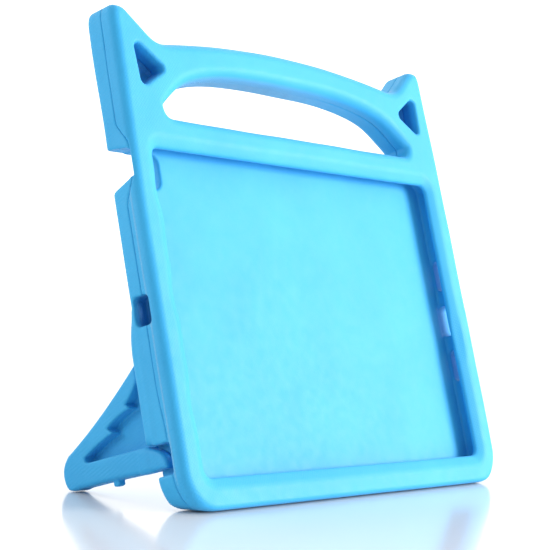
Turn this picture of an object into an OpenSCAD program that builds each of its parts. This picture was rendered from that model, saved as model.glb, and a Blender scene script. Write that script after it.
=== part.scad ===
// Foam tablet case with a carry handle, two pointed ears and two fold-out legs.
// Millimetres. The case leans back on its legs, with its front towards -Y, +X to the right and +Z up.
// The origin is on the table, under the middle of the bottom edge.
// The foam is drawn upright in the case's own frame: x right, y up the face, z out of the front,
// with z = 0 at the tablet's glass and the pocket's centre at x = y = 0.

/* [Tablet] */
// Length of the tablet, along the case
tablet_l = 240; // [235:0.5:245]
// Height of the tablet
tablet_h = 169.5; // [166:0.5:173]
// Thickness of the tablet
tablet_t = 7.5; // [6:0.1:8]
// Gap round the tablet in its pocket
pocket_gap = 0.4; // [0:0.1:1]

/* [Foam body] */
// Foam beyond each end of the tablet
side_wall = 12; // [11:0.5:15]
// Foam below the tablet
bottom_wall = 13.75; // [11:0.25:15]
// Bar between the tablet and the handle's finger gap
top_bar = 12.5; // [8:0.25:14]
// Foam behind the tablet
back_wall = 6.5; // [5:0.5:9]
// Thickness of the front lip
lip_t = 5; // [4:0.5:7]
// How far the lip covers the tablet at its two ends
lip_side = 5; // [3:0.5:8]
// How far the lip covers the tablet at top and bottom
lip_end = 4.25; // [3:0.25:6]
// Width of the sloped band round the window
bevel_w = 6; // [3:0.5:7]
// Thickness of the lip at its edge
lip_edge = 2.2; // [1:0.2:3]
// Radius of the two bottom corners
corner_r = 22; // [12:1:30]
// Radius of the front edges
front_r = 5; // [3:0.5:7]
// Radius of the back edges
back_r = 4; // [2:0.5:6]

/* [Handle and ears] */
// Height of the handle's top above the pocket's centre
handle_top = 144.5; // [136:0.5:150]
// How far the handle's top drops towards the ears
handle_drop = 8; // [4:0.5:12]
// Height of the finger gap in the middle
gap_h = 29.5; // [26:0.5:36]
// Half the length of the finger gap
gap_half = 102.5; // [95:0.5:110]
// Radius of the finger gap's lower corners
gap_corner = 6.5; // [3:0.5:10]
// Height of the ear tips above the pocket's centre
ear_top = 153; // [145:1:160]
// How far the ear tips stand in from the case's sides
ear_inset = 2; // [0:0.5:4]
// Depth of the hollow in each ear
ear_hollow = 11; // [4:0.5:13]

/* [Legs] */
// Angle that the case leans back, degrees
lean = 17.5; // [14:0.5:20]
// Thickness of each leg
leg_t = 11; // [10:0.5:13]
// Thickness of the floor of a leg's hollow
leg_floor = 4; // [2:0.2:5]
// Set-back of a leg's outer face from the case's side
leg_inset = 3; // [2:0.5:4]
// Thickness of the foam hinge webs
web_t = 2.8; // [2:0.2:3.4]
// Height of the pads that the open legs lean on
pad_h = 4.5; // [4:0.1:5]

/* [Hidden] */
$fn = 64;

face_blue = "#4db8ee";
leg_blue = "#3f9fdc";
hinge_blue = "#3a92cc";

half_l = tablet_l / 2;
half_h = tablet_h / 2;
half_w = half_l + side_wall;
bottom_y = -half_h - bottom_wall;
bar_y = half_h + top_bar;
front_z = lip_t;
back_z = -tablet_t - back_wall;
pad_z = back_z - pad_h;
far = 400;        // longer than the case, for cuts that run right through
over = 1;         // how far a cut runs past a face

// Where the case sits over the table: its bottom edge is cut flat along the table.
base_drop = 91.8;
base_back = 23.7;

// Hinge line of the left leg. It passes half way along the foam web.
hinge_x = -half_w + leg_inset + leg_t - 1.8;
hinge_z = back_z - 2.2;
leg_gap = 0.3;    // between an open leg and the pad behind it
leg_out_x = -half_w + leg_inset;
leg_root = -pad_z + leg_gap;
leg_foot_y = -73.4;   // lower edge of a leg, where it meets the case

tongue_t = 5.6;   // thickness of the leg's tongue
notch_x = -half_l - pocket_gap - 2.4;   // end of the tongue's notch, with foam left before the pocket

// Side cut-outs, as [lower y, upper y].
camera_cut = [61, 80.5];
notch_cut = [-77, -62];
jack_cut = [-69.2, -63.4];
sound_recess = [-6.5, 8];
sound_cut = [-3.2, 5.2];
charge_cut = [-9, 9];
speaker_cut = [18, 36];
leg_web = [-60, -24];

function bez(a, b, c, n = 8) =
    [for (i = [0:n]) let (t = i / n) (1 - t) * (1 - t) * a + 2 * t * (1 - t) * b + t * t * c];

// Top edge of the finger gap over x: nearly flat in the middle, with a straight slope at both ends.
function gap_arch(x) = (gap_h - gap_corner) * pow(max(0, 1 - pow(abs(x) / gap_half, 3)), 0.65);
function gap_top(x) = bar_y + gap_corner + min(gap_arch(x), 0.8 * (gap_half - abs(x)));

// ---- helpers -------------------------------------------------------------------------------

// Carries foam from the case's own frame to its place on the table, and cuts it flat there.
module placed() {
    difference() {
        translate([0, base_back, base_drop]) rotate([90 - lean, 0, 0]) children();
        translate([-far / 2, -far / 2, -far]) cube([far, far, far]);
    }
}

// A flat (x, z) outline run along y, and a flat (y, z) outline run along x.
module along_y(y0, y1) { translate([0, y1, 0]) rotate([90, 0, 0]) linear_extrude(y1 - y0) children(); }
module along_x(x0, x1) { translate([x0, 0, 0]) rotate([90, 0, 90]) linear_extrude(x1 - x0) children(); }

// A box from one corner to the other.
module box(a, b) { translate(a) cube(b - a); }

module both_sides() {
    children();
    mirror([1, 0, 0]) children();
}

module round_rect(a, b, r) {
    translate(a + [r, 0]) square([b.x - a.x - 2 * r, b.y - a.y]);
    translate(a + [0, r]) square([b.x - a.x, b.y - a.y - 2 * r]);
    for (x = [a.x + r, b.x - r], y = [a.y + r, b.y - r]) translate([x, y]) circle(r);
}

// ---- outlines of the foam body --------------------------------------------------------------

module handle_outline() {
    arc_r = (pow(100, 2) + pow(handle_drop, 2)) / (2 * handle_drop);
    intersection() {
        translate([0, handle_top - arc_r]) circle(arc_r, $fn = 360);
        translate([-half_w + 6, half_h]) square([2 * half_w - 12, 70]);
    }
}

module ear_outline() {
    tip = 4;
    tip_x = -half_w + ear_inset;
    polygon([
        [-half_w, half_h], [tip_x, ear_top - tip], [tip_x + tip, ear_top],
        [tip_x + 8, ear_top], [-99.5, handle_top - handle_drop], [-90, handle_top - 20], [-90, half_h],
    ]);
    translate([tip_x + tip, ear_top - tip]) circle(tip);
}

module front_outline() {
    r = corner_r;
    translate([-half_w, bottom_y + r]) square([2 * half_w, bar_y - bottom_y - r + 4]);
    translate([-half_w + r, bottom_y]) square([2 * half_w - 2 * r, r + 1]);
    both_sides() translate([-half_w + r, bottom_y + r]) circle(r);
    handle_outline();
    both_sides() ear_outline();
}

// Cross-section of the body over its width, with rounded edges.
module width_section() {
    deep = 20;
    intersection() {
        round_rect([-half_w, -deep], [half_w, front_z], front_r);
        round_rect([-half_w, back_z], [half_w, deep], back_r);
    }
}

// Cross-section of the body over its height, from the table to the ear tips, as (y, z).
module height_section() {
    toe = bottom_y - 4;
    polygon(concat(
        bez([bottom_y + 9, front_z], [bottom_y + 0.5, front_z], [bottom_y + 0.5, front_z - 7]),
        [[toe, 0], [toe, back_z + 5]],
        bez([bottom_y + 4, back_z + 5], [bottom_y + 4, back_z], [bottom_y + 11, back_z]),
        bez([ear_top - back_r, back_z], [ear_top, back_z], [ear_top, back_z + back_r]),
        bez([ear_top, front_z - front_r], [ear_top, front_z], [ear_top - front_r, front_z])
    ));
}

// The line round the edge where the front and back mouldings meet, as (y, z).
seam_line = concat(
    [[ear_top + 9, -4], [96, -4]],
    bez([96, -4], [82, -4], [80, 2], 5),
    [[68, 2]],
    bez([68, 2], [56, 1], [48, -4], 5),
    [[-34, -4]],
    bez([-34, -4], [-50, -3.6], [-60, -2.6], 5),
    [[bottom_y - 9, -2.6]]
);

// What belongs to the front moulding. The whole of the lip over the tablet is part of it.
module in_front_of_seam() {
    along_x(-far / 2, far / 2) polygon(concat([[bottom_y - 9, 30], [ear_top + 9, 30]], seam_line));
    box([-half_l - 1, -half_h - 1, -1.2], [half_l + 1, half_h + 1, 30]);
}

// ---- what is taken out of the foam body -----------------------------------------------------

module pocket() {
    g = pocket_gap;
    translate([0, 0, -tablet_t])
        linear_extrude(tablet_t) round_rect([-half_l - g, -half_h - g], [half_l + g, half_h + g], 8);
}

module window() {
    w = half_l - lip_side;
    h = half_h - lip_end;
    translate([0, 0, -over]) linear_extrude(lip_t + 2 * over) round_rect([-w, -h], [w, h], 4.5);
    hull() {
        translate([0, 0, lip_edge]) linear_extrude(0.01) round_rect([-w, -h], [w, h], 4.5);
        translate([0, 0, front_z + 0.3])
            linear_extrude(0.01) round_rect([-w - bevel_w, -h - bevel_w], [w + bevel_w, h + bevel_w], 7);
    }
}

// Dent in the right-hand lip, for the thumb that presses the home button.
module thumb_dent() { translate([98, -12, 37.7]) sphere(40, $fn = 128); }

module finger_gap() {
    n = 40;
    r = gap_corner;
    translate([0, 0, back_z - over]) linear_extrude(front_z - back_z + 2 * over) {
        polygon(concat(
            [[-gap_half + r, bar_y], [gap_half - r, bar_y], [gap_half, bar_y + r]],
            [for (i = [1:n - 1]) let (x = gap_half * cos(180 * i / n)) [x, gap_top(x)]],
            [[-gap_half, bar_y + r]]
        ));
        both_sides() translate([-gap_half + r, bar_y + r]) circle(r);
    }
}

module ear_hollows() {
    corner = 3;
    both_sides() translate([0, 0, front_z - ear_hollow]) linear_extrude(ear_hollow + over) hull() {
        for (p = [[-115.4, 130.8], [-114.5, 115.2], [-102.8, 122.4]]) translate(p) circle(corner);
    }
}

// A recess for the microphone's sound, with a smaller hole from its floor into the pocket.
module sound_opening() {
    along_x(-half_w - over, notch_x) round_rect([sound_recess[0], -10.5], [sound_recess[1], -0.5], 2.5);
    side_cut(sound_cut, [-6.8, -1.2]);
}

// Side cut-outs run from outside the wall into the pocket.
module side_cut(y, z) {
    along_x(-half_w - over, -half_l + over) round_rect([y[0], z[0]], [y[1], z[1]], 2.4);
}

module camera_opening() {
    box([-half_w - over, camera_cut[0], back_z - over], [-half_l + over, camera_cut[1], 2]);
    box([-half_l, camera_cut[0] + 2, back_z - over], [-half_l + 18, camera_cut[1], -tablet_t + over]);
}

// Notch in the side for an open leg's tongue.
module leg_notch() { box([-half_w - over, notch_cut[0], back_z - over], [notch_x, notch_cut[1], -2]); }

module foam_removed() {
    pocket();
    window();
    thumb_dent();
    finger_gap();
    ear_hollows();
    camera_opening();
    sound_opening();
    both_sides() leg_notch();
    side_cut(jack_cut, [-7.5, -1.7]);
    mirror([1, 0, 0]) {
        side_cut(charge_cut, [-8.5, -0.5]);
        side_cut(speaker_cut, [-6.5, -1]);
        side_cut([-speaker_cut[1], -speaker_cut[0]], [-6.5, -1]);
    }
}

// ---- the two body mouldings -----------------------------------------------------------------

// Raised pad on the back, beside each leg's root, that stops the leg when it is open.
// Below the pad a thin and slightly lower wall closes the back of the tongue's notch.
module leg_pads() {
    r = 4;
    pad_w = hinge_x + half_w - 2.9;
    wall_top = notch_cut[1] + 0.5;
    both_sides() intersection() {
        along_x(-half_w, -half_w + pad_w) polygon(concat(
            [[0, back_z + 6], [wall_top, back_z + 6], [wall_top, pad_z]],
            bez([-18, pad_z], [-9, pad_z], [0, back_z])
        ));
        along_y(-70, 2) union() {
            translate([-half_w, pad_z + r]) square([pad_w, 20]);
            translate([-half_w + r, pad_z]) square([pad_w - r, 20]);
            translate([-half_w + r, pad_z + r]) circle(r);
        }
    }
    both_sides() box([notch_x, notch_cut[0], pad_z + 0.8], [hinge_x - 0.4, wall_top, back_z + over]);
}

module foam_body() {
    difference() {
        union() {
            intersection() {
                translate([0, 0, back_z]) linear_extrude(front_z - back_z) front_outline();
                along_y(bottom_y - 5, ear_top + 5) width_section();
                along_x(-half_w, half_w) height_section();
            }
            leg_pads();
        }
        foam_removed();
    }
}

module front_frame() {
    color(face_blue) placed() intersection() {
        foam_body();
        in_front_of_seam();
    }
}

module back_shell() {
    color(face_blue) placed() difference() {
        foam_body();
        in_front_of_seam();
    }
}

// ---- the legs -------------------------------------------------------------------------------

// A leg's outline as (y, z): its long edge, its rounded foot and its bottom edge.
module leg_outline() {
    polygon(concat(
        [[-21, -leg_root]],
        bez([-21, -leg_root], [-42.9, -47.9], [-55.6, -73.8], 12),
        bez([-55.6, -73.8], [-60, -79], [-65.2, -78.9], 4),
        bez([-65.2, -78.9], [-70.2, -78.8], [-72.8, -76], 4),
        [[-73.4, -73.4], [-72.7, -68], [-72.7, -48], [leg_foot_y, -leg_root]]
    ));
}

// The hollow in a leg's outer face, with two barbs on its long side like a bat's wing.
module leg_hollow_outline() {
    polygon(concat(
        [[-28, -leg_root + over]],
        bez([-29, -leg_root], [-35.8, -24], [-39.1, -29.4], 5),
        bez([-41.3, -26.7], [-43.4, -36], [-47.9, -43.8], 5),
        bez([-50.7, -40.6], [-53, -50], [-58.8, -62], 5),
        bez([-58.8, -62], [-61.4, -62.6], [-61.4, -59], 4),
        [[-61.4, -leg_root + over]]
    ));
}

// The end of the lower bar that swings into the notch in the case's side, as (y, z).
module tongue_outline() {
    polygon(concat(
        [[-62.4, -leg_root - 3]],
        bez([-62.4, -leg_root], [-64.2, -9], [-71, -8.2]),
        [[leg_foot_y, -8.2], [leg_foot_y, -leg_root - 3]]
    ));
}

module leg_body() {
    x0 = leg_out_x;
    difference() {
        along_x(x0, x0 + leg_t) leg_outline();
        along_x(x0 - over, x0 + leg_t - leg_floor) leg_hollow_outline();
    }
    along_x(x0, x0 + tongue_t) tongue_outline();
    // nub on the bottom edge
    box([x0 + 2, -75.8, -46.8], [x0 + 6.5, -72.2, -42.4]);
}

// Thin foam strip that joins a leg to the back and bends when the leg folds.
module hinge_web() {
    low = [leg_web[0], -leg_root];
    size = [leg_web[1] - leg_web[0], back_z + leg_root];
    along_x(hinge_x - web_t / 2, hinge_x + web_t / 2) translate(low) square(size);
}

module left_leg() { color(leg_blue) placed() leg_body(); }
module right_leg() { color(leg_blue) placed() mirror([1, 0, 0]) leg_body(); }
module left_hinge() { color(hinge_blue) placed() hinge_web(); }
module right_hinge() { color(hinge_blue) placed() mirror([1, 0, 0]) hinge_web(); }

front_frame();
back_shell();
left_leg();
right_leg();
left_hinge();
right_hinge();
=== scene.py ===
"""Foam tablet case with a carry handle, two pointed ears and fold-out legs.

The foam is described by distance fields in millimetres, in the case's own frame: x right, y up the
face, z out of the front, with z = 0 at the tablet's glass. A field is below 0 inside the foam.
surface_net() turns a field into a mesh, and to_row() carries it to its leaning place on the table,
in metres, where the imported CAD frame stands.
"""

import math

import bpy
import numpy as np
from mathutils import Matrix, Vector


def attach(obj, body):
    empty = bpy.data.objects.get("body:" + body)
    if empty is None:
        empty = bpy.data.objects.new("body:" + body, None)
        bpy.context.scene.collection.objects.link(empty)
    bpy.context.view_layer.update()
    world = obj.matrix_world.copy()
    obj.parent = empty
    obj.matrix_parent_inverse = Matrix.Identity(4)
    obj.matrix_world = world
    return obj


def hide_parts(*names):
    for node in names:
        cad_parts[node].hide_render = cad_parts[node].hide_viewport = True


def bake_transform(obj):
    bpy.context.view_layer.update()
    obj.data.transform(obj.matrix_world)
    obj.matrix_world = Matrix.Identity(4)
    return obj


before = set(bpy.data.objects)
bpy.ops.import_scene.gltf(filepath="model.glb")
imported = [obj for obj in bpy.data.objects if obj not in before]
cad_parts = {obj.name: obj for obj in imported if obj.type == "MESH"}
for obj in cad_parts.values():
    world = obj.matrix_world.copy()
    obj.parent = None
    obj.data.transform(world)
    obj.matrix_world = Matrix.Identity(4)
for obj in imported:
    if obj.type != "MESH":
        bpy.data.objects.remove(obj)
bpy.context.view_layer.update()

MM = 0.001

# ---- sizes, in millimetres, as in the CAD model ----------------------------------------------

LEAN = math.radians(17.5)
BASE_BACK, BASE_DROP = 23.7, 91.8  # where the pocket's centre sits behind and above the origin
HALF_L, HALF_H, TABLET_T = 120.0, 84.75, 7.5
GAP = 0.4  # round the tablet in its pocket
HALF_W = 132.0
BOTTOM_Y, BAR_Y = -98.5, 97.25
FRONT_Z, BACK_Z, PAD_Z = 5.0, -14.0, -18.5
CORNER_R, FRONT_R, BACK_R = 22.0, 5.0, 4.0
HANDLE_TOP, HANDLE_DROP = 144.5, 8.0
GAP_H, GAP_HALF, GAP_CORNER = 29.5, 102.5, 6.5
EAR_TOP, EAR_INSET, EAR_HOLLOW = 153.0, 2.0, 11.0
WINDOW_X, WINDOW_Y, BEVEL_W, LIP_EDGE = 115.0, 80.5, 6.0, 2.2
LEG_X0, LEG_X1, LEG_FLOOR_X = -129.0, -118.0, -122.0
LEG_ROOT = 18.8  # how far behind the glass the legs start
LEG_FOOT_Y = -73.4
TONGUE_X1 = -123.4
NOTCH_X = -122.8  # end of the notch that takes the open leg's tongue
HINGE_X, WEB_HALF = -119.8, 1.4
SEAM_Z, SEAM_UNDER_LIP = -4.0, -1.2
SEAM_R = 0.45  # the soft edges that make the seam's groove
WEB_Y = (-60.0, -24.0)

# ---- small tools for distance fields ---------------------------------------------------------


def carve(a, b, r):
    """The overlap of two shapes, with a rounded edge of radius r where their surfaces meet."""
    return np.minimum(np.maximum(a, b), -r) + np.hypot(np.maximum(a + r, 0), np.maximum(b + r, 0))


def weld(a, b, r):
    """Two shapes together, with a fillet of radius r where they meet."""
    return -carve(-a, -b, r)


def cut(a, b, r):
    """Shape a without shape b."""
    return carve(a, -b, r)


def rect(x, y, a, b, r):
    """Rounded rectangle from corner a to corner b."""
    qx = abs(x - (a[0] + b[0]) / 2) - (b[0] - a[0]) / 2 + r
    qy = abs(y - (a[1] + b[1]) / 2) - (b[1] - a[1]) / 2 + r
    return np.minimum(np.maximum(qx, qy), 0) + np.hypot(np.maximum(qx, 0), np.maximum(qy, 0)) - r


def slab(flat, z, z0, z1, r0, r1):
    """A flat shape run from z0 to z1, with its edge rounded by r0 at z0 and by r1 at z1."""
    h, middle = (z1 - z0) / 2, (z1 + z0) / 2
    r = np.where(z > middle, r1, r0)
    a, b = flat + r, abs(z - middle) - h + r
    return np.minimum(np.maximum(a, b), 0) + np.hypot(np.maximum(a, 0), np.maximum(b, 0)) - r


def inside_outline(x, y, points):
    """Distance to a closed outline, below 0 inside it."""
    points = np.array(points, float)
    x, y = np.broadcast_arrays(x, y)
    near, sign = np.full(x.shape, 1e12), np.ones(x.shape)
    for (ax, ay), (bx, by) in zip(points, np.roll(points, 1, axis=0)):
        ex, ey, wx, wy = bx - ax, by - ay, x - ax, y - ay
        t = np.clip((wx * ex + wy * ey) / max(ex * ex + ey * ey, 1e-9), 0, 1)
        near = np.minimum(near, (wx - ex * t) ** 2 + (wy - ey * t) ** 2)
        up, down, left = y >= ay, y < by, ex * wy > ey * wx
        sign = np.where((up & down & left) | (~up & ~down & ~left), -sign, sign)
    return sign * np.sqrt(near)


def curve(a, b, c, n=12):
    """Points from a to c on a curve that is pulled towards b."""
    t = np.linspace(0, 1, n + 1)[:, None]
    a, b, c = (np.array(p, float) for p in (a, b, c))
    return ((1 - t) ** 2 * a + 2 * t * (1 - t) * b + t**2 * c).tolist()


def smooth_step(v, low, high):
    """0 below low, 1 above high, and an easy slope between them."""
    t = np.clip((v - low) / (high - low), 0, 1)
    return t * t * (3 - 2 * t)


def graded(low, high, fine_spans, fine, coarse):
    """Grid lines from low to high, closer together inside the fine spans."""
    at, lines = low, []
    while at < high + fine:
        lines.append(at)
        at += fine if any(a <= at < b for a, b in fine_spans) else coarse
    return np.array(lines)


# ---- outlines --------------------------------------------------------------------------------


def half_front_outline():
    """Right half of the case's outline, from the bottom's middle to the handle's top."""
    arc_r = (100**2 + HANDLE_DROP**2) / (2 * HANDLE_DROP)
    corner = [
        (HALF_W - CORNER_R + CORNER_R * math.sin(a), BOTTOM_Y + CORNER_R - CORNER_R * math.cos(a))
        for a in np.linspace(0, math.pi / 2, 16)
    ]
    tip = HALF_W - EAR_INSET
    ear = [(HALF_W, 50), (HALF_W - 0.4, 75)]
    ear += curve((tip, EAR_TOP - 8), (tip - 0.4, EAR_TOP + 0.3), (tip - 5, EAR_TOP), 8)
    ear += curve((tip - 7, EAR_TOP), (tip - 10, EAR_TOP - 0.2), (tip - 13, EAR_TOP - 3.2), 6)
    ear += curve((107.2, 141.6), (101, 136.3), (92, handle_arc(92, arc_r)), 8)
    handle = [(x, handle_arc(x, arc_r)) for x in np.linspace(88, 0, 12)]
    return [(0, BOTTOM_Y)] + corner + ear + handle


def handle_arc(x, arc_r):
    """Height of the handle's arched top."""
    return HANDLE_TOP - arc_r + math.sqrt(arc_r**2 - x**2)


def half_gap_outline():
    """Right half of the finger gap: a round lower corner, a straight slope, then a flat arch."""
    r, blend = GAP_CORNER, 2.0
    corner = curve((GAP_HALF - r, BAR_Y), (GAP_HALF, BAR_Y), (GAP_HALF, BAR_Y + r - blend / 2), 8)
    x = GAP_HALF * np.cos(np.linspace(0.05, math.pi / 2, 40))
    arch = (GAP_H - r) * (1 - (x / GAP_HALF) ** 3) ** 0.65
    slope = 0.8 * (GAP_HALF - x)
    # the lower of the two, with a soft bend between them
    rise = (arch + slope - np.hypot(arch - slope, blend)) / 2
    return [(0, BAR_Y)] + corner + list(zip(x, BAR_Y + r + rise))


def mirrored(half):
    """A whole outline from its right half, whose first and last points are on the middle line."""
    return half + [(-x, y) for x, y in reversed(half[1:-1])]


FRONT_OUTLINE = mirrored(half_front_outline())
GAP_OUTLINE = mirrored(half_gap_outline())
EAR_TRIANGLE = [(115.4, 130.8), (114.5, 115.2), (102.8, 122.4)]
EAR_TRIANGLE_R = 3.0
THUMB_DENT = ((98, -12, 37.7), 40)  # middle and radius of the ball that dents the right lip

LEG_OUTLINE = (
    [(-21, LEG_ROOT)]
    + curve((-21, LEG_ROOT), (-42.9, 47.9), (-55.6, 73.8), 16)
    + curve((-55.6, 73.8), (-60, 79), (-65.2, 78.9), 6)
    + curve((-65.2, 78.9), (-70.2, 78.8), (-72.8, 76), 6)
    + [(-73.4, 73.4), (-72.7, 68), (-72.7, 48), (LEG_FOOT_Y, LEG_ROOT)]
)
LEG_HOLLOW = (
    [(-27, 12)]
    + curve((-29, LEG_ROOT), (-35.8, 24), (-39.1, 29.4), 8)
    + curve((-41.3, 26.7), (-43.4, 36), (-47.9, 43.8), 8)
    + curve((-50.7, 40.6), (-53, 50), (-58.8, 62), 8)
    + curve((-58.8, 62), (-61.4, 62.6), (-61.4, 59), 6)
    + [(-61.4, 12)]
)
TONGUE = (
    [(-62.4, 26)]
    + curve((-62.4, LEG_ROOT), (-64.2, 9), (-71, 8.2), 10)
    + [(LEG_FOOT_Y, 8.2), (LEG_FOOT_Y, 26)]
)
CAMERA_NOTCH = [(60, -24), (60, -13), (64, -1), (65.5, 2), (77.8, 2), (79.3, 0), (81.6, -12), (81.6, -24)]
SOUND_RECESS = ((-6.5, -10.5), (8, -0.5), 2.5)  # two corners and the corner radius


def seam_z(x, y):
    """Height where the two mouldings meet. It wanders on the sides, and is level under the lip."""
    up = 6 * (1 - smooth_step(y, 80, 94)) * smooth_step(y, 50, 67)
    low = 1.4 * (1 - smooth_step(y, -60, -36))
    from_lip = smooth_step(np.maximum(abs(x) - HALF_L, abs(y) - HALF_H), 0.8, 2.8)
    return SEAM_UNDER_LIP + (SEAM_Z + up + low - SEAM_UNDER_LIP) * from_lip


# ---- the foam body ---------------------------------------------------------------------------


def body(x, y, z):
    """The whole foam body, before the seam divides it."""
    ax = abs(x)
    outline = inside_outline(x, y, FRONT_OUTLINE)
    gap = inside_outline(x, y, GAP_OUTLINE)
    ring = np.maximum(outline, -gap)
    front_r = FRONT_R + 1.0 * smooth_step(y, 98, 112) * (1 - smooth_step(ax, 96, 110))
    back_z = BACK_Z - 1.2 * smooth_step(y, 86, 140)  # deeper than the CAD behind the handle and ears
    d = slab(ring, z, back_z, FRONT_Z, BACK_R, front_r)
    ripple = 0.10 * np.sin(x / 19 + 1.0) * np.sin(y / 23)
    d = d + ripple + 0.06 * np.sin(x / 7.3) * np.sin(y / 8.1 + 2.0)
    pad_top = [(3, -8), (-61.5, -8), (-61.5, PAD_Z)] + curve((-20, PAD_Z), (-9, PAD_Z), (3, BACK_Z + 0.5), 10)
    pad = slab(inside_outline(y, z, pad_top), ax, 123.0, HALF_W, 1.0, BACK_R)
    d = weld(d, pad, 1.5)
    d = cut_sides(cut_front(d, x, y, z), x, y, z)
    d = carve(d, under_table(y, z), 3.5)
    # a low wall on the back closes the inner end of the tongue's notch
    wall = rect(y, z, (-77.5, PAD_Z + 0.8), (-60.5, BACK_Z + 3), 0.6)
    return np.minimum(d, slab(wall, ax, 120.2, -NOTCH_X, 0.5, 0.5))


def under_table(y, z):
    """How far a point is under the table that the case stands on."""
    return -(y * math.cos(LEAN) + z * math.sin(LEAN) + BASE_DROP)


def window_field(x, y, z):
    """The opening over the screen: a soft-edged rectangle with a sloped band round it."""
    wave = 0.7 * np.sin(y / 9.0 + 0.6) + 0.4 * np.sin(y / 4.1)
    left = smooth_step(-x, 104, 112) * (1 - smooth_step(abs(y), 60, 74))
    flat = rect(x + wave * left, y, (-WINDOW_X, -WINDOW_Y), (WINDOW_X, WINDOW_Y), 4.5)
    slope = BEVEL_W / (FRONT_Z - LIP_EDGE)
    above = z - LIP_EDGE
    widen = slope * (above + np.sqrt(above**2 + 0.8)) / 2
    return (flat - widen) / (1 + (math.hypot(1, slope) - 1) * smooth_step(above, -1.0, 1.0))


def cut_front(d, x, y, z):
    """The body with the tablet's pocket, the window, the thumb dent and the ears' hollows cut out."""
    pocket_x, pocket_y = HALF_L + GAP, HALF_H + GAP
    pocket = slab(rect(x, y, (-pocket_x, -pocket_y), (pocket_x, pocket_y), 8), z, -TABLET_T, 0, 1.2, 0.4)
    d = cut(d, pocket, 0.5)
    d = cut(d, np.maximum(window_field(x, y, z), -1 - z), 0.7)
    (dent_x, dent_y, dent_z), dent_r = THUMB_DENT
    dent = np.sqrt((x - dent_x) ** 2 + (y - dent_y) ** 2 + (z - dent_z) ** 2) - dent_r
    d = cut(d, dent, 2.5)

    triangle = inside_outline(abs(x), y, EAR_TRIANGLE) - EAR_TRIANGLE_R + 0.10 * (FRONT_Z - z)
    hollow = slab(triangle, z, FRONT_Z - EAR_HOLLOW, FRONT_Z + 20, 2.0, 0.0)
    return cut(d, hollow, 1.6)


def cut_sides(d, x, y, z):
    """The body with its notches, plug holes and sound holes cut out."""
    # left side: the corner over the camera and the power button, and the sound hole in its recess
    side = -x
    past_side = HALF_W + 9  # well outside the foam, so that a cut runs right out
    corner = slab(inside_outline(y, z, CAMERA_NOTCH), side, HALF_L - 1, past_side, 0.5, 0)
    lens = slab(rect(side, y, (HALF_L - 18, 63), (HALF_L + 12, 81.2), 5), z, BACK_Z - 6, -TABLET_T + 1, 0, 0)
    d = cut(cut(d, corner, 1.2), lens, 1.5)
    sound = slab(rect(y, z, *SOUND_RECESS), side, -NOTCH_X, past_side, 0.8, 0)
    sound_slot = slab(rect(y, z, (-3.2, -6.8), (5.2, -1.2), 2.4), side, HALF_L - 1, HALF_W, 0, 0)
    d = cut(cut(d, sound, 0.8), sound_slot, 0.3)

    # right side: the charging plug and two slots for the speakers
    charge = slab(rect(y, z, (-9, -8.5), (9, -0.5), 3), x, HALF_L - 1, past_side, 0, 0)
    speakers = slab(rect(abs(y), z, (18, -6.5), (36, -1), 2.5), x, HALF_L - 1, past_side, 0, 0)
    d = cut(cut(d, charge, 1.0), speakers, 0.8)

    # both sides: the notch for the open leg's tongue; on the left, the hole for the headphone plug
    notch = slab(rect(y, z, (-77, BACK_Z - 12), (-62, -2), 1.5), abs(x), -NOTCH_X, past_side, 1.0, 0)
    jack = slab(rect(y, z, (-69.2, -7.5), (-63.4, -1.7), 2.4), side, HALF_L - 1, past_side, 0, 0)
    return cut(cut(d, notch, 1.0), jack, 0.4)


def front_field(x, y, z):
    """The front moulding: the body in front of the seam."""
    return carve(body(x, y, z), seam_z(x, y) - z, SEAM_R)


def back_field(x, y, z):
    """The back moulding: the body behind the seam."""
    return carve(body(x, y, z), z - seam_z(x, y), SEAM_R)


# ---- the legs --------------------------------------------------------------------------------


def leg_field(x, y, z):
    """The left leg. Its outer face is hollowed, and its tongue reaches forward into the case's side."""
    back = -z
    d = slab(inside_outline(y, back, LEG_OUTLINE), x, LEG_X0, LEG_X1, 2.2, 2.0)
    tongue = slab(inside_outline(y, back, TONGUE), x, LEG_X0, TONGUE_X1, 2.0, 1.0)
    d = weld(d, tongue, 1.5)
    nub = slab(rect(y, back, (-75.8, 42.4), (-71, 46.8), 1.2), x, LEG_X0 + 2, LEG_X0 + 6.5, 1, 1)
    d = weld(d, nub, 0.8)
    hollow = slab(inside_outline(y, back, LEG_HOLLOW), x, LEG_X0 - 12, LEG_FLOOR_X, 0, 0.8)
    return carve(cut(d, hollow, 1.0), under_table(y, z), 0.8)


def web_field(x, y, z):
    """Strip of thinned foam between the back and the left leg, waisted where it bends."""
    middle = (BACK_Z - LEG_ROOT) / 2
    waist = 0.45 * np.exp(-(((z - middle) / 1.3) ** 2))
    flat = rect(y, z, (WEB_Y[0], -LEG_ROOT - 0.6), (WEB_Y[1], BACK_Z + 0.6), 0.4)
    return slab(flat, x, HINGE_X - WEB_HALF, HINGE_X + WEB_HALF, 0.3, 0.3) + waist


# ---- meshes ----------------------------------------------------------------------------------


def surface_net(field, xs, ys, zs):
    """Points and quads of the surface where the field is 0."""
    shape = (len(xs), len(ys), len(zs))
    values = field(xs[:, None, None], ys[None, :, None], zs[None, None, :])
    values = np.ascontiguousarray(np.broadcast_to(values, shape))
    inside = values < 0
    corners = sum(
        inside[i : shape[0] - 1 + i, j : shape[1] - 1 + j, k : shape[2] - 1 + k].astype(np.int8)
        for i in (0, 1)
        for j in (0, 1)
        for k in (0, 1)
    )
    cells = np.argwhere((corners > 0) & (corners < 8))
    number = np.full(corners.shape, -1)
    number[tuple(cells.T)] = np.arange(len(cells))
    points = crossing_points(values, cells, (xs, ys, zs))
    return settle(field, points), quads_between(inside, number)


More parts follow.
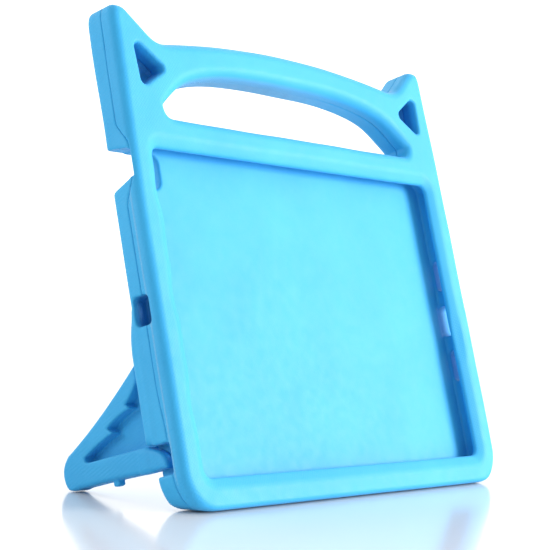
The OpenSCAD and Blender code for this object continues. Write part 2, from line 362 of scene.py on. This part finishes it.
def crossing_points(values, cells, lines):
    """For each cell, the middle of the places where its edges cross the surface."""
    total, count = np.zeros((len(cells), 3)), np.zeros(len(cells))
    for axis in range(3):
        others = [k for k in range(3) if k != axis]
        for u in (0, 1):
            for v in (0, 1):
                a = cells.copy()
                a[:, others[0]] += u
                a[:, others[1]] += v
                b = a.copy()
                b[:, axis] += 1
                va, vb = values[tuple(a.T)], values[tuple(b.T)]
                crossed = (va < 0) != (vb < 0)
                t = np.where(crossed, va / np.where(crossed, va - vb, 1), 0)
                pa = np.stack([lines[k][a[:, k]] for k in range(3)], 1)
                pb = np.stack([lines[k][b[:, k]] for k in range(3)], 1)
                total += np.where(crossed[:, None], pa + (pb - pa) * t[:, None], 0)
                count += crossed
    return total / count[:, None]


def quads_between(inside, number):
    """A quad through the four cells round each grid edge that crosses the surface, facing out."""
    shape, quads = inside.shape, []
    for axis in range(3):
        u, v = [(1, 2), (2, 0), (0, 1)][axis]
        low = inside.take(range(shape[axis] - 1), axis)
        high = inside.take(range(1, shape[axis]), axis)
        edges = np.argwhere(low != high)
        edges = edges[(edges[:, u] > 0) & (edges[:, v] > 0)]
        edges = edges[(edges[:, u] < shape[u] - 1) & (edges[:, v] < shape[v] - 1)]
        around = []
        for du, dv in ((-1, -1), (0, -1), (0, 0), (-1, 0)):
            cell = edges.copy()
            cell[:, u] += du
            cell[:, v] += dv
            around.append(number[tuple(cell.T)])
        quad = np.stack(around, 1)
        outward = low[tuple(edges.T)]
        quads.append(np.where(outward[:, None], quad, quad[:, ::-1]))
    return np.concatenate(quads)


def settle(field, points, rounds=2, reach=0.35):
    """Moves points on to the surface along the field's slope, by no more than reach a round."""
    step = 0.04
    for _ in range(rounds):
        x, y, z = points.T
        here = field(x, y, z)
        slope = np.stack(
            [
                field(x + step, y, z) - here,
                field(x, y + step, z) - here,
                field(x, y, z + step) - here,
            ],
            1,
        )
        slope /= step
        move = -here[:, None] * slope / np.maximum((slope**2).sum(1), 0.25)[:, None]
        length = np.linalg.norm(move, axis=1)[:, None]
        points = points + move * np.minimum(1, reach / np.maximum(length, 1e-9))
    return points


def to_row(points):
    """Case frame in millimetres to the row's frame in metres."""
    x, y, z = points.T
    c, s = math.cos(LEAN), math.sin(LEAN)
    return np.stack([x, BASE_BACK + y * s - z * c, BASE_DROP + y * c + z * s], 1) * MM


def make_piece(node, points, quads, material):
    """A smooth-shaded piece, shown in place of the CAD part of that name."""
    name = f"{node}_foam"
    mesh = bpy.data.meshes.new(name)
    mesh.vertices.add(len(points))
    mesh.vertices.foreach_set("co", to_row(points).astype(np.float32).ravel())
    mesh.loops.add(quads.size)
    mesh.loops.foreach_set("vertex_index", quads.astype(np.int32).ravel())
    mesh.polygons.add(len(quads))
    mesh.polygons.foreach_set("loop_start", np.arange(0, quads.size, 4, dtype=np.int32))
    mesh.update(calc_edges=True)
    mesh.validate()
    mesh.shade_smooth()
    mesh.materials.append(material)
    piece = bpy.data.objects.new(name, mesh)
    bpy.context.scene.collection.objects.link(piece)
    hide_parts(node)
    return piece


def add_number(piece, name, values):
    """Stores one number for each of the piece's points, for its material."""
    layer = piece.data.attributes.new(name, "FLOAT", "POINT")
    layer.data.foreach_set("value", values.astype(np.float32))


# ---- materials -------------------------------------------------------------------------------


class Nodes:
    """Short calls for building a material's nodes."""

    def __init__(self, material):
        material.use_nodes = True
        self.tree = material.node_tree
        self.shader = self.tree.nodes["Principled BSDF"]

    def add(self, kind, **settings):
        """A new node of a kind, with its settings."""
        node = self.tree.nodes.new(kind)
        for key, value in settings.items():
            setattr(node, key, value)
        return node

    def link(self, a, b):
        self.tree.links.new(a, b)

    def maths(self, operation, a, b=None):
        """One sum on sockets or plain numbers."""
        node = self.add("ShaderNodeMath", operation=operation)
        for socket, value in zip(node.inputs, (a, b)):
            if value is None:
                continue
            if isinstance(value, (int, float)):
                socket.default_value = value
            else:
                self.link(value, socket)
        return node.outputs[0]

    def number(self, name):
        """A number that add_number() stored on the piece."""
        return self.add("ShaderNodeAttribute", attribute_name=name).outputs["Fac"]

    def noise(self, at, scale, detail):
        node = self.add("ShaderNodeTexNoise")
        node.inputs["Scale"].default_value = scale
        node.inputs["Detail"].default_value = detail
        self.link(at, node.inputs["Vector"])
        return node.outputs["Fac"]

    def stripes(self, at, direction, pitch):
        """Waves across a direction, from -1 to 1."""
        dot = self.add("ShaderNodeVectorMath", operation="DOT_PRODUCT")
        self.link(at, dot.inputs[0])
        dot.inputs[1].default_value = Vector(direction).normalized()
        return self.maths("SINE", self.maths("MULTIPLY", dot.outputs["Value"], 2 * math.pi / pitch))

    def ramp(self, fac, stops):
        """Colours at their places between 0 and 1."""
        node = self.add("ShaderNodeValToRGB")
        elements = node.color_ramp.elements
        elements[0].position, elements[0].color = stops[0][0], (*stops[0][1], 1)
        elements[1].position, elements[1].color = stops[-1][0], (*stops[-1][1], 1)
        for position, colour in stops[1:-1]:
            elements.new(position).color = (*colour, 1)
        self.link(fac, node.inputs["Fac"])
        return node.outputs["Color"]

    def mix(self, fac, colour, other):
        """A colour turned towards a fixed other one by fac."""
        node = self.add("ShaderNodeMix", data_type="RGBA")
        self.link(fac, node.inputs["Factor"])
        self.link(colour, node.inputs["A"])
        node.inputs["B"].default_value = (*other, 1)
        return node.outputs["Result"]

    def spread(self, fac, low, high):
        """A value from 0 to 1 carried to the range from low to high."""
        node = self.add("ShaderNodeMapRange")
        node.inputs["To Min"].default_value = low
        node.inputs["To Max"].default_value = high
        self.link(fac, node.inputs["Value"])
        return node.outputs["Result"]

    def bump(self, height, distance, strength=1.0, normal=None):
        node = self.add("ShaderNodeBump")
        node.inputs["Distance"].default_value = distance
        node.inputs["Strength"].default_value = strength
        self.link(height, node.inputs["Height"])
        if normal is not None:
            self.link(normal, node.inputs["Normal"])
        return node.outputs["Normal"]


# painted highlight on the crests of the grip's ribs and of the bead beside the seam
CREST_HIGHLIGHT_BLUE = (0.30, 0.58, 0.84)
# a darker tint down in the hollows, in place of shade that the studio light doesn't give
HOLLOW_BLUE = (0.012, 0.17, 0.46)
TWILL_WAYS, TWILL_PITCH = ((0.80, -0.5, -0.60), (0.65, 0.5, 0.76)), 1.25 * MM
RIB_PITCH = 1.8 * MM


def foam(name, deep, light, body=False):
    """Satin closed-cell foam, with the fine diagonal grain of its mould."""
    material = bpy.data.materials.new(name)
    n = Nodes(material)
    at = n.add("ShaderNodeTexCoord").outputs["Object"]
    cloud = n.noise(at, 24, 4)
    cells = n.noise(at, 1400, 2)
    mixed = n.maths("ADD", n.maths("MULTIPLY", cloud, 0.7), n.maths("MULTIPLY", cells, 0.3))
    colour = n.ramp(mixed, [(0.30, deep), (0.70, light)])
    n.link(n.spread(n.noise(at, 180, 5), 0.46, 0.66), n.shader.inputs["Roughness"])
    n.shader.inputs["Specular IOR Level"].default_value = 0.4
    n.shader.inputs["Sheen Weight"].default_value = 0.08
    n.shader.inputs["Sheen Roughness"].default_value = 0.4
    main, crossing = (n.stripes(at, way, TWILL_PITCH) for way in TWILL_WAYS)
    grain = n.maths("ADD", n.maths("MULTIPLY", main, 0.6), n.maths("MULTIPLY", crossing, 0.4))
    if body:
        grain = n.maths("MULTIPLY", grain, n.number("weave"))
    normal = n.bump(grain, 0.03 * MM)
    normal = n.bump(cells, 0.05 * MM, 0.5, normal)
    if body:
        colour, normal = body_marks(n, at, cloud, colour, normal)
    n.link(colour, n.shader.inputs["Base Color"])
    n.link(normal, n.shader.inputs["Normal"])
    return material


def body_marks(n, at, cloud, colour, normal):
    """Adds the grip's ribs and the bead beside the seam, with a painted highlight on their crests, and
    painted shade down in the hollows.
    """
    ribbed = n.number("ribs")
    wave = n.stripes(at, (1, 0, 0), RIB_PITCH)
    normal = n.bump(n.maths("MULTIPLY", wave, ribbed), 0.35 * MM, 1.0, normal)
    bead = n.maths("MULTIPLY", n.number("bead"), n.spread(n.noise(at, 900, 1), 0.2, 1.3))
    normal = n.bump(bead, 0.30 * MM, 1.0, normal)
    # the ribs' crests and the bead are painted lighter: a painted highlight
    crest = n.maths("MULTIPLY", ribbed, n.spread(wave, 0.15, 1.0))
    colour = n.mix(n.maths("MAXIMUM", crest, n.maths("MULTIPLY", bead, 0.5)), colour, CREST_HIGHLIGHT_BLUE)
    hollow = n.maths("MULTIPLY", n.number("hollow"), n.spread(cloud, 0.65, 0.9))
    return n.mix(hollow, colour, HOLLOW_BLUE), normal


body_foam = foam("body_foam", (0.026, 0.375, 0.73), (0.040, 0.430, 0.79), body=True)
leg_foam = foam("leg_foam", (0.022, 0.350, 0.71), (0.034, 0.405, 0.77))

# ---- the pieces ------------------------------------------------------------------------------

QUICK = 1.0
FINE = 0.8 * QUICK
GRID_X = graded(-134.4, 134.4, [(-135, -94), (94, 136)], FINE, 2.4 * QUICK)
GRID_Y = graded(-99.3, 153.5, [(-100, -57), (-16, 14), (57, 154)], FINE, 2.0 * QUICK)
STEP_Z = 0.62 * QUICK
LEG_STEP = 0.7 * QUICK
LEG_SPANS = ((-130.9, -116.4), (-78.6, -20.2), (-81, -6.2))
WEB_SPANS = ((-122, -117.4, 0.35), (-61, -22.6, 0.8), (-20, -12.4, 0.35))  # from, to, step
BEAD_Z = -0.9


def grip_ribs(x, y, z):
    """How ribbed a point is, from 0 to 1. The ribs are under the handle, where the photo has them."""
    on_grip = (abs(inside_outline(x, y, GAP_OUTLINE)) < 1.2) & (y > BAR_Y + 12)
    along = smooth_step(x, -90, -78) * (1 - smooth_step(x, -15, 60))
    across = (1 - smooth_step(abs(z + 5.0), 6.0, 8.0)) * (1 - 0.45 * smooth_step(z, -4.6, -3.4))
    return on_grip * along * across


def seam_bead(x, y, z):
    """How high the bead is, from 0 to 1. It runs in front of the seam down the left side."""
    beside = (x < 3 - HALF_W) * smooth_step(y, -86, -78) * (1 - smooth_step(y, 54, 62))
    return beside * np.exp(-(((z - BEAD_Z) / 0.5) ** 2))


def down_in_hollows(x, y, z):
    """How far down in an ear's hollow or in the sound hole's recess a point is, from 0 to 1."""
    in_outline = inside_outline(abs(x), y, EAR_TRIANGLE) < EAR_TRIANGLE_R + 0.6
    in_ear = in_outline & (z > FRONT_Z - EAR_HOLLOW - 1)
    in_recess = (rect(y, z, *SOUND_RECESS) < 0.6) & (x < NOTCH_X + 1)
    return in_ear * smooth_step(FRONT_Z - z, 2.0, 6.0) + in_recess * smooth_step(x + HALF_W, 1.5, 4.5)


def weave_depth(x, y, z):
    """How deep the mould's grain is, from 0 to 1. It is faint in the tablet's pocket."""
    in_pocket = (abs(x) < HALF_L + 2) & (abs(y) < HALF_H + 2) & (z < 0.3) & (z > -TABLET_T - 1)
    return 1.0 - 0.8 * in_pocket


def body_piece(name, field, z_low, z_high):
    """One of the two mouldings, with the numbers that its material reads."""
    points, quads = surface_net(field, GRID_X, GRID_Y, np.arange(z_low, z_high, STEP_Z))
    piece = make_piece(name, points, quads, body_foam)
    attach(piece, "case")
    numbers = {"ribs": grip_ribs, "bead": seam_bead, "hollow": down_in_hollows, "weave": weave_depth}
    for label, number_at in numbers.items():
        add_number(piece, label, number_at(*points.T))


def side_piece(node, points, quads, flip):
    """A piece beside the case from the left one's mesh. A flip of -1 mirrors it to the right."""
    if flip == -1:
        points, quads = points * np.array([-1, 1, 1]), quads[:, ::-1]
    return make_piece(node, points, quads, leg_foam)


body_piece("front_frame", front_field, -5.6, 7.0)
body_piece("back_shell", back_field, -20.6, 4.2)

leg_mesh = surface_net(leg_field, *(np.arange(low, high, LEG_STEP) for low, high in LEG_SPANS))
web_mesh = surface_net(web_field, *(np.arange(*span) for span in WEB_SPANS))
for side, flip in (("left", 1), ("right", -1)):
    leg = side_piece(f"{side}_leg", *leg_mesh, flip)
    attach(leg, f"{side}_leg")
    web = side_piece(f"{side}_hinge", *web_mesh, flip)
    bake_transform(web)

# ---- floor, light and camera -----------------------------------------------------------------

SENSOR_WIDTH = 36
LENS_TO_WIDTH = 1600 / 550  # focal length over the picture's width
CAMERA_ROLL = math.radians(3.55)


def plain_floor():
    """A pale, faintly shining floor, a hair below the case so that they don't share a surface."""
    mesh = bpy.data.meshes.new("floor")
    size = 6.0
    corners = [(-size, -size, 0), (size, -size, 0), (size, size, 0), (-size, size, 0)]
    mesh.from_pydata(corners, [], [(0, 1, 2, 3)])
    material = bpy.data.materials.new("floor_white")
    n = Nodes(material)
    n.shader.inputs["Base Color"].default_value = (0.80, 0.80, 0.80, 1)
    n.shader.inputs["Roughness"].default_value = 0.14
    n.shader.inputs["Specular IOR Level"].default_value = 0.6
    mesh.materials.append(material)
    floor = bpy.data.objects.new("floor", mesh)
    floor.location.z = -0.0003
    bpy.context.scene.collection.objects.link(floor)


def area_light(name, location, target, size, power):
    """A round white lamp that faces a target."""
    data = bpy.data.lights.new(name, "AREA")
    data.shape, data.size, data.energy = "DISK", size, power
    light = bpy.data.objects.new(name, data)
    light.location = location
    light.rotation_euler = (Vector(target) - Vector(location)).to_track_quat("-Z", "Y").to_euler()
    bpy.context.scene.collection.objects.link(light)


def white_world(dim_towards, full, dimmed):
    """White all round, but dimmer on the side that the photographer stands on."""
    world = bpy.data.worlds.new("studio")
    world.use_nodes = True
    tree = world.node_tree
    background = tree.nodes["Background"]
    at = tree.nodes.new("ShaderNodeTexCoord")
    dot = tree.nodes.new("ShaderNodeVectorMath")
    dot.operation = "DOT_PRODUCT"
    dot.inputs[1].default_value = Vector(dim_towards).normalized()
    spread = tree.nodes.new("ShaderNodeMapRange")
    spread.interpolation_type = "SMOOTHSTEP"
    spread.inputs["From Min"].default_value = -0.6
    spread.inputs["From Max"].default_value = 0.95
    spread.inputs["To Min"].default_value = full
    spread.inputs["To Max"].default_value = dimmed
    tree.links.new(at.outputs["Generated"], dot.inputs[0])
    tree.links.new(dot.outputs["Value"], spread.inputs["Value"])
    tree.links.new(spread.outputs["Result"], background.inputs["Strength"])
    background.inputs["Color"].default_value = (1, 1, 1, 1)
    bpy.context.scene.world = world


def photo_camera():
    """The camera at the photo's viewing angle, with the photo's slight roll."""
    data = bpy.data.cameras.new("camera")
    data.sensor_width = SENSOR_WIDTH
    data.lens = SENSOR_WIDTH * LENS_TO_WIDTH
    data.clip_start = 0.05
    camera = bpy.data.objects.new("camera", data)
    eye, target = Vector((-0.6661, -0.4992, 0.1118)), Vector((-0.0149, 0.0475, 0.1113))
    level = (target - eye).to_track_quat("-Z", "Y").to_matrix()
    facing = level @ Matrix.Rotation(CAMERA_ROLL, 3, "Z")
    camera.location = eye
    camera.rotation_euler = facing.to_euler()
    bpy.context.scene.collection.objects.link(camera)
    bpy.context.scene.camera = camera


plain_floor()
white_world((-0.77, -0.64, 0.1), 1.5, 0.55)
middle = (0, 0.03, 0.12)
area_light("key_right", (1.1, -1.35, 0.45), middle, 1.0, 40)
area_light("back_left", (-1.5, 0.7, 0.45), middle, 0.8, 6)
photo_camera()
bpy.context.scene.view_settings.view_transform = "Standard"
